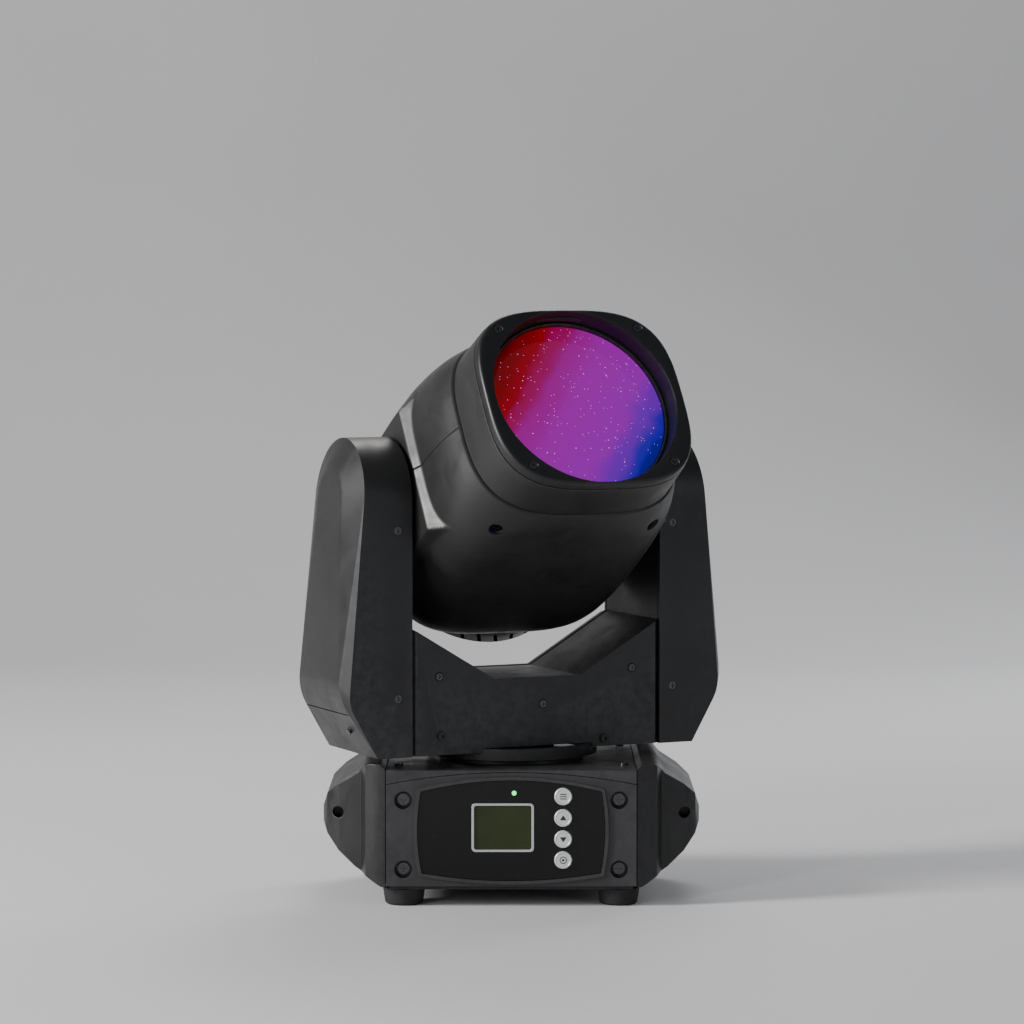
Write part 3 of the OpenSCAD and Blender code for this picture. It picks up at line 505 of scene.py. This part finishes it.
for side, name in ((-1, "left_arm_cover"), (1, "right_arm_cover")):
    M = M_YOKE @ Matrix.Scale(side, 4, (1, 0, 0))
    ob = hull_solid(name + "_shell", arm_points(0, 97.5), M, 1.8, 4, 13.0)
    inner = hull_solid("cutter", arm_points(2.5, 96.0), M)
    holes = []
    for z in (135.5, 254):
        for s in (-1, 1):
            holes.append(lathe("cutter", [(0, -1.6), (3.2, -1.6), (3.2, 0.0), (3.7, 0.7), (3.7, 3), (0, 3)], axis_matrix(M @ Vector((0.1083, s * 0.045, z * MM)), M.to_3x3() @ Vector((0, s, 0))), 32))
            holes.append(lathe("cutter", [(0, -8), (1.7, -8), (1.7, 3), (0, 3)], axis_matrix(M @ Vector((0.1083, s * 0.045, z * MM)), M.to_3x3() @ Vector((0, s, 0))), 20))
    cut(ob, [inner] + holes)
    piece(ob, "case_plastic", "yoke", [name], angle=24)

chamfer = []
for side in (-1, 1):
    M = M_YOKE @ Matrix.Scale(side, 4, (1, 0, 0))
    nrm = M.to_3x3() @ Vector((0.8, 0, -0.6))
    chamfer.append(lathe("screw", [(0, -2), (2.2, -2), (2.2, 0.35), (1.9, 0.6), (0.8, 0.62), (0.7, 0.2), (0, 0.2)], axis_matrix(M @ Vector((0.1375, -0.024, 0.112)), nrm), 32))
piece(join("underside_screws", chamfer), "screw_steel", "yoke")

# ------------------------------------------------------------------ crossbar covers
bar = [(-97.3, 94.3), (97.3, 94.3), (97.3, 184.6), (34, 146.6), (-34, 146.6), (-97.3, 184.6)]
for rot, name in ((0, "crossbar_front_cover"), (math.pi, "crossbar_rear_cover")):
    M = M_YOKE @ Matrix.Rotation(rot, 4, "Z")
    ob = prism(name + "_plate", bar, -44.8, -40.7, M, 0.0)
    wedge = [prism("cutter", [(q * 97.3, -40.75), (q * 94.0, -44.8), (q * 93.0, -46), (q * 99, -46), (q * 99, -40.75)][::q], 80, 200, M, 0.0, axis="z") for q in (-1, 1)]
    cut(ob, wedge)
    md = ob.modifiers.new("bevel", "BEVEL"); md.width, md.segments, md.limit_method, md.angle_limit = 0.45 * MM, 3, "ANGLE", math.radians(18)
    apply_mods(ob)
    cs = [lathe("cutter", [(0, 80), (62.4, 80), (62.4, 97.3), (0, 97.3)], M, 96)]
    for x, z in ((-77, 150), (75, 150), (-75, 108), (4, 127), (53, 100)):
        cs.append(lathe("cutter", [(0, 2.7), (2.9, 2.7), (2.9, 3.6), (3.3, 4.1), (3.3, 6), (0, 6)], axis_matrix(M @ (Vector((x, -40.7, z)) * MM), M.to_3x3() @ Vector((0, -1, 0))), 32))
        cs.append(lathe("cutter", [(0, -2), (1.5, -2), (1.5, 6), (0, 6)], axis_matrix(M @ (Vector((x, -40.7, z)) * MM), M.to_3x3() @ Vector((0, -1, 0))), 20))
    cut(ob, cs)
    piece(ob, SLOT[name], "yoke", [name])

# ------------------------------------------------------------------ head covers
SKIN = [(-66, 82, 77, 3.6), (-60, 85, 78.6, 3.8), (-45, 88.5, 79.6, 4.0), (-10, 90, 79.8, 4.2), (35, 90, 78.4, 4.2), (60, 88.9, 77, 4.0),
        (80, 87.1, 76, 3.6), (92, 84.8, 74.9, 3.3), (103.2, 81.2, 73.2, 3.1), (104.2, 80.2, 72.4, 3.1)]
def skin_at(w):
    ks = SKIN
    i = 0
    while i < len(ks) - 2 and w > ks[i + 1][0]:
        i += 1
    p0, p1 = ks[i], ks[i + 1]
    t = min(1, max(0, (w - p0[0]) / (p1[0] - p0[0])))
    out = []
    for c in (1, 2, 3):
        d = (p1[c] - p0[c]) / (p1[0] - p0[0])
        dm = (p1[c] - ks[i - 1][c]) / (p1[0] - ks[i - 1][0]) if i > 0 else d
        dp = (ks[i + 2][c] - p0[c]) / (ks[i + 2][0] - p0[0]) if i < len(ks) - 2 else d
        if i >= 8:
            dm = dp = d
        if i == 7:
            dp = d
        h = p1[0] - p0[0]
        out.append((2 * t ** 3 - 3 * t ** 2 + 1) * p0[c] + (t ** 3 - 2 * t ** 2 + t) * h * dm + (-2 * t ** 3 + 3 * t ** 2) * p1[c] + (t ** 3 - t ** 2) * h * dp)
    return out
def smax(a, b, k):
    h = max(k - abs(a - b), 0.0) / k
    return max(a, b) + h * h * k / 4
def smin(a, b, k):
    return -smax(-a, -b, k)
def head_r(th, w, off=0.0):
    a, b, n = skin_at(w)
    c, s = abs(math.cos(th)), abs(math.sin(th))
    rb = (((c / a) ** n) + ((s / b) ** n)) ** (-1 / n)
    if c > 0.3:
        k = 24 / 14
        p = 94 / c
        p = smin(p, (94 + 48 * k) / (c + k * s), 1.0)
        p = smin(p, (94 - (24 / 31) * (w - 44)) / c, 1.0)
        p = smin(p, (94 - (-54 - w)) / c, 1.0)
        p = smin(p, (86 - (16 / 12) * (-62 - w)) / c, 1.0)
        if p * c > 70:
            rb = smax(rb, p, 1.2)
    return rb - off
def head_half(name, top):
    ws = [-65.2, -64, -62] + [-60 + 1.0 * i for i in range(0, 163)] + [103.0]
    rows = [("c", -63.5, 70.0), ("c", -66.0, 70.0), ("s", -66.0, 2.2), ("s", -65.9, 1.1), ("s", -65.5, 0.35)]
    rows += [("s", w, 0.0) for w in ws]
    rows += [("s", 103.7, 0.25), ("s", 104.15, 0.8)]
    rows += [("s", 104.2, 1.6), ("s", 104.0, 2.5)]
    rows += [("s", w, 2.5) for w in reversed(ws) if w > -61 and int(w) % 4 == 0]
    rows += [("s", -63.5, 4.0)]
    seam = [0.15, 0.45, 0.9, 1.6]
    ths = [math.asin(v / 90.0) for v in seam]
    K = 220
    mid = [ths[-1] + (math.pi - 2 * ths[-1]) * i / K for i in range(1, K)]
    ths = ths + mid + [math.pi - t for t in reversed(ths)]
    if not top:
        ths = [-t for t in ths]
    bm = bmesh.new()
    grid = []
    for kind, w, off in rows:
        row = []
        for th in ths:
            r = off if kind == "c" else head_r(th, max(w, -66.0), off)
            u, v = r * math.cos(th), r * math.sin(th)
            if kind == "s" and off < 2.0:
                d = abs(v) - 0.15
                if d < 0.85:
                    q = r - 0.45 * (1 - min(1, max(d, 0) / 0.8)) ** 2
                    u, v = q * math.cos(th), q * math.sin(th)
            if abs(v) < 0.15 or th in (ths[0], ths[-1]):
                v = 0.15 if top else -0.15
            row.append(bm.verts.new(M_HEAD @ (Vector((u, v, w)) * MM)))
        grid.append(row)
    R, T = len(rows), len(ths)
    for j in range(R):
        a, b = grid[j], grid[(j + 1) % R]
        for i in range(T - 1):
            bm.faces.new((a[i], b[i], b[i + 1], a[i + 1]))
    for e in (0, T - 1):
        bm.faces.new([grid[j][e] for j in range(R)])
    bmesh.ops.triangulate(bm, faces=[f for f in bm.faces if len(f.verts) > 4])
    bmesh.ops.recalc_face_normals(bm, faces=bm.faces)
    me = bpy.data.meshes.new(name); bm.to_mesh(me); bm.free()
    ob = bpy.data.objects.new(name, me)
    scene.collection.objects.link(ob)
    return ob

WELLS = []
for x in (-1, 1):
    for s in (-1, 1):
        p = Vector((60 * x, 67.5 * s, 81))
        d = Vector((x * math.sin(math.radians(27)), s * math.cos(math.radians(27)), 0))
        WELLS.append((p, d, s))
def head_axis(p, d):
    return axis_matrix(M_HEAD @ (p * MM), M_HEAD.to_3x3() @ d)
for name, top in (("head_top_cover", True), ("head_bottom_cover", False)):
    ob = head_half(name + "_shell", top)
    cs = [lathe("cutter", [(0, -100), (17, -100), (17, 100), (0, 100)], head_axis(Vector((0, 0, 0)), Vector((1, 0, 0))), 96)]
    for p, d, s in WELLS:
        if (s > 0) == top:
            cs.append(lathe("cutter", [(0, -9), (4.4, -9), (4.4, -0.4), (5.2, 0.5), (5.2, 6), (0, 6)], head_axis(p, d), 48))
    cut(ob, cs)
    piece(ob, "case_plastic", "head", [name], angle=28)
cups = join("screw_well_cups", [lathe("cup", [(0, -8), (6.4, -8), (6.4, -2.6), (4.4, -2.6), (4.4, -5.1), (0, -5.1)], head_axis(p, d), 48) for p, d, s in WELLS])
piece(cups, "case_plastic", "head")

# ------------------------------------------------------------------ front cap and bezel
outer = [(104.7, 78.4, 71.3, 3.1), (104.9, 79.1, 71.9, 3.1), (105.5, 79.5, 72.2, 3.1), (108, 79.4, 72.2, 3.1), (118, 78.6, 71.8, 3.1), (128, 77.7, 71.4, 3.15),
         (136.6, 76.9, 71.0, 3.2), (137.3, 76.6, 70.7, 3.2), (137.6, 75.9, 70.0, 3.2)]
inner = [(137.6, 71.0, 67.0, 2.4), (134.0, 70.6, 66.6, 2.4), (133.8, 74.2, 68.3, 3.2), (118, 76, 69.3, 3.1), (104.7, 76.4, 69.5, 3.1)]
ob = ring_loft("front_cap_shell", outer + inner, M_HEAD)
piece(ob, "case_plastic", "head", ["front_cap"], angle=28)

rows = [(138.0, 75.6, 69.7, 3.2), (138.1, 76.3, 70.4, 3.2), (138.6, 76.6, 70.7, 3.2), (141.5, 76.3, 70.45, 3.2), (143.2, 75.9, 70.05, 3.2), (144.2, 75.3, 69.5, 3.2), (144.75, 74.6, 68.9, 3.2),
        (144.95, 73.9, 68.6, 3.1), (145.0, 73.0, 68.5, 2.95), (144.9, 71.0, 68.6, 2.5), (144.6, 68.7, 68.45, 2.05), (144.1, 68.2, 68.2, 2), (143.2, 68.0, 68.0, 2),
        (138, 68.0, 68.0, 2), (132, 67.9, 67.9, 2), (129.2, 67.8, 67.8, 2), (128.7, 67.2, 67.2, 2), (128.7, 65.9, 65.9, 2), (124.2, 65.8, 65.8, 2), (124.0, 69.2, 69.2, 2), (138.0, 69.2, 69.2, 2)]
ob = ring_loft("front_bezel_ring", rows, M_HEAD)
cs = [lathe("cutter", [(0, -2.2), (3.4, -2.2), (3.4, -0.5), (4.0, 0.3), (4.0, 5), (0, 5)], head_axis(Vector((x, y, 145)), Vector((0, 0, 1))), 40) for x in (-54, 54) for y in (-54, 54)]
cut(ob, cs)
piece(ob, "black_plastic", "head", ["front_bezel"], angle=28)

# ------------------------------------------------------------------ lens, lit from inside: crimson through violet to deep blue, with dust on the glass whose specks also carry painted glints in the glow
k = Mat("lens_lit")
centre = M_HEAD @ Vector((0, 0, 0.130))
g = M_HEAD.to_3x3() @ Vector((0.80, -0.60, 0))
sub = k.n("ShaderNodeVectorMath", _operation="SUBTRACT"); k.nt.links.new(k.tc.outputs["Object"], sub.inputs[0]); sub.inputs[1].default_value = centre
dot = k.n("ShaderNodeVectorMath", _operation="DOT_PRODUCT"); k.nt.links.new(sub.outputs[0], dot.inputs[0]); dot.inputs[1].default_value = g
cloud = k.noise(26.0, 4.0, 0.55, dist=0.4)
tt = k.math("ADD", k.ramp(dot.outputs["Value"], -0.066, 0.066), k.ramp(cloud, 0.3, 0.7, -0.035, 0.035))
ramp = k.n("ShaderNodeValToRGB", Fac=tt)
cr = ramp.color_ramp
cr.interpolation = "EASE"
stops = [(0.0, (0.06, 0.0, 0.001)), (0.08, (0.13, 0.0, 0.001)), (0.17, (0.20, 0.0, 0.004)), (0.25, (0.23, 0.0, 0.07)), (0.34, (0.24, 0.0, 0.20)), (0.47, (0.25, 0.0, 0.29)),
         (0.70, (0.23, 0.0, 0.33)), (0.84, (0.11, 0.0, 0.35)), (0.94, (0.015, 0.0, 0.29)), (1.0, (0.002, 0.0, 0.17))]
while len(cr.elements) < len(stops):
    cr.elements.new(0.5)
for e, (pos, c) in zip(cr.elements, stops):
    e.position = pos; e.color = (c[0], c[1], c[2], 1)
def specks(scale, size, keep):
    v = k.n("ShaderNodeTexVoronoi", Scale=scale, Vector=k.tc.outputs["Object"])
    near = k.math("LESS_THAN", v.outputs["Distance"], size)
    sepc = k.n("ShaderNodeSeparateColor", Color=v.outputs["Color"])
    return k.math("MULTIPLY", near, k.math("GREATER_THAN", sepc.outputs[0], keep))
dust = k.math("MAXIMUM", specks(190.0, 0.080, 0.40), specks(430.0, 0.12, 0.62))
# the dust specks are also painted as brighter pink glints in the emission: a painted highlight on the dust
emis = k.mix(k.math("MULTIPLY", dust, 0.75), ramp.outputs["Color"], rgb((1.0, 0.35, 1.0)))
k.set(**{"Base__Color": k.mix(dust, rgb((0.006, 0.004, 0.010)), rgb((0.25, 0.2, 0.28))), "Roughness": k.math("ADD", k.ramp(k.noise(70.0, 3.0), 0.3, 0.7, 0.02, 0.06), k.math("MULTIPLY", dust, 0.4)),
         "Emission__Color": emis, "Emission__Strength": 1.25, "Coat__Weight": 0.0, "Coat__Roughness": 0.03, "Specular__IOR__Level": 0.35})
MATS["lens_lit"] = k
prof = [(0, 118), (65.2, 118), (65.4, 118.3), (65.4, 127.9), (65.1, 128.3)] + [(65 * i / 40, 128.6 + 8 * (1 - (i / 40) ** 2)) for i in range(39, 0, -1)] + [(0, 136.6)]
ob = lathe("front_lens_glass", prof, M_HEAD, 192)
piece(ob, "lens_glass", "head", ["front_lens"], mat="lens_lit", angle=30)
ring = lathe("lens_ring", [(65.75, 128.75), (67.55, 128.75), (67.55, 130.2), (67.2, 130.6), (66.5, 130.6), (65.9, 130.2)], M_HEAD, 192)
piece(ring, "black_plastic", "head", mat="ring_black")

# ------------------------------------------------------------------ buttons: domed caps with plain raised symbols
BTN = {"menu_button": 66.8, "up_button": 51.6, "down_button": 36.6, "enter_button": 21.8}
for n, zc in BTN.items():
    zb = (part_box(n)[0].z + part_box(n)[1].z) / 2 / MM
    M = axis_matrix(Vector((36.5, -85.0, zb)) * MM, (0, -1, 0))
    R = 6.2
    cap = lathe(n + "_cap", [(0, -4.8), (2.4, -4.8), (2.4, -3.4), (7.4, -3.4), (7.4, -2.2), (R, -2.2), (R, 1.3), (R - 0.15, 1.75), (R - 0.5, 2.05), (R - 0.95, 2.15), (R - 1.3, 2.05),
                             (R - 1.5, 1.85), (3.4, 1.98), (0, 2.05)], M, 64)
    piece(cap, "button_silver", n, [n], angle=40)
    marks = []
    def bar_mark(x0, x1, y0, y1):
        return prism("mark", [(x0, y0), (x1, y0), (x1, y1), (x0, y1)], 1.8, 2.16, M, 0.08, 2, axis="z")
    if n == "menu_button":
        marks = [bar_mark(-2.3, 2.3, y - 0.35, y + 0.35) for y in (-1.6, 0, 1.6)]
    elif n in ("up_button", "down_button"):
        s = 1 if n == "up_button" else -1
        tri = [(-2.4, -1.5 * s), (2.4, -1.5 * s), (0, 2.1 * s)]
        marks = [prism("mark", tri if s > 0 else tri[::-1], 1.8, 2.16, M, 0.08, 2, axis="z")]
    else:
        marks = [lathe("mark", [(2.0, 1.8), (2.6, 1.8), (2.6, 2.1), (2.5, 2.16), (2.1, 2.16), (2.0, 2.1)], M, 40), lathe("mark", [(0, 1.8), (0.9, 1.8), (0.9, 2.1), (0.8, 2.16), (0, 2.16)], M, 24)]
    mk = join(n + "_symbol", marks)
    piece(mk, "button_silver", n, mat="ink_black")

# ------------------------------------------------------------------ floor and light
def stage_floor():
    z = cad_lo.z
    bm = bmesh.new()
    prof = [(-6.0, 0.0), (1.6, 0.0)] + [(1.6 + 1.2 * math.sin(a), 1.2 - 1.2 * math.cos(a)) for a in [math.pi / 2 * i / 12 for i in range(1, 13)]] + [(2.8, 5.0)]
    rows = [[bm.verts.new((x, y, z + h)) for (y, h) in prof] for x in (-6.0, 6.0)]
    for i in range(len(prof) - 1):
        bm.faces.new((rows[0][i], rows[1][i], rows[1][i + 1], rows[0][i + 1]))
    me = bpy.data.meshes.new("floor"); bm.to_mesh(me); bm.free()
    me.polygons.foreach_set("use_smooth", [True] * len(me.polygons))
    ob = bpy.data.objects.new("floor", me)
    scene.collection.objects.link(ob)
    k = Mat("floor_paper")
    k.set(**{"Base__Color": k.mix(k.noise(3.0, 3.0), rgb((0.62, 0.62, 0.63)), rgb((0.66, 0.66, 0.67))), "Roughness": 0.75})
    me.materials.append(k.m)
stage_floor()

world = bpy.data.worlds.new("world")
scene.world = world
world.use_nodes = True
world.node_tree.nodes["Background"].inputs["Color"].default_value = (0.80, 0.84, 0.90, 1)
world.node_tree.nodes["Background"].inputs["Strength"].default_value = 0.22

def area(name, loc, target, size, energy, col=(1, 1, 1)):
    d = bpy.data.lights.new(name, "AREA")
    d.shape = "RECTANGLE"
    d.size, d.size_y = size
    d.energy = energy
    d.color = col
    o = bpy.data.objects.new(name, d)
    scene.collection.objects.link(o)
    o.location = loc
    o.rotation_euler = (Vector(target) - Vector(loc)).to_track_quat("-Z", "Y").to_euler()
    return o
area("key", (-2.40, -0.85, 1.20), (0, 0, 0.25), (0.5, 1.0), 105, (1.0, 0.985, 0.965))
area("front_left", (-1.55, -2.3, 1.0), (0, 0, 0.2), (0.25, 1.2), 16, (1.0, 0.99, 0.97))
area("fill", (2.3, -1.9, 0.9), (0, 0, 0.2), (1.2, 1.2), 6, (0.93, 0.96, 1.0))
area("back_right", (1.25, 1.5, 1.0), (0, 0, 0.25), (0.5, 1.2), 13, (0.95, 0.97, 1.0))
area("back_top", (0.2, 1.3, 1.7), (0, 0, 0.3), (0.8, 0.6), 12, (1.0, 0.98, 0.95))
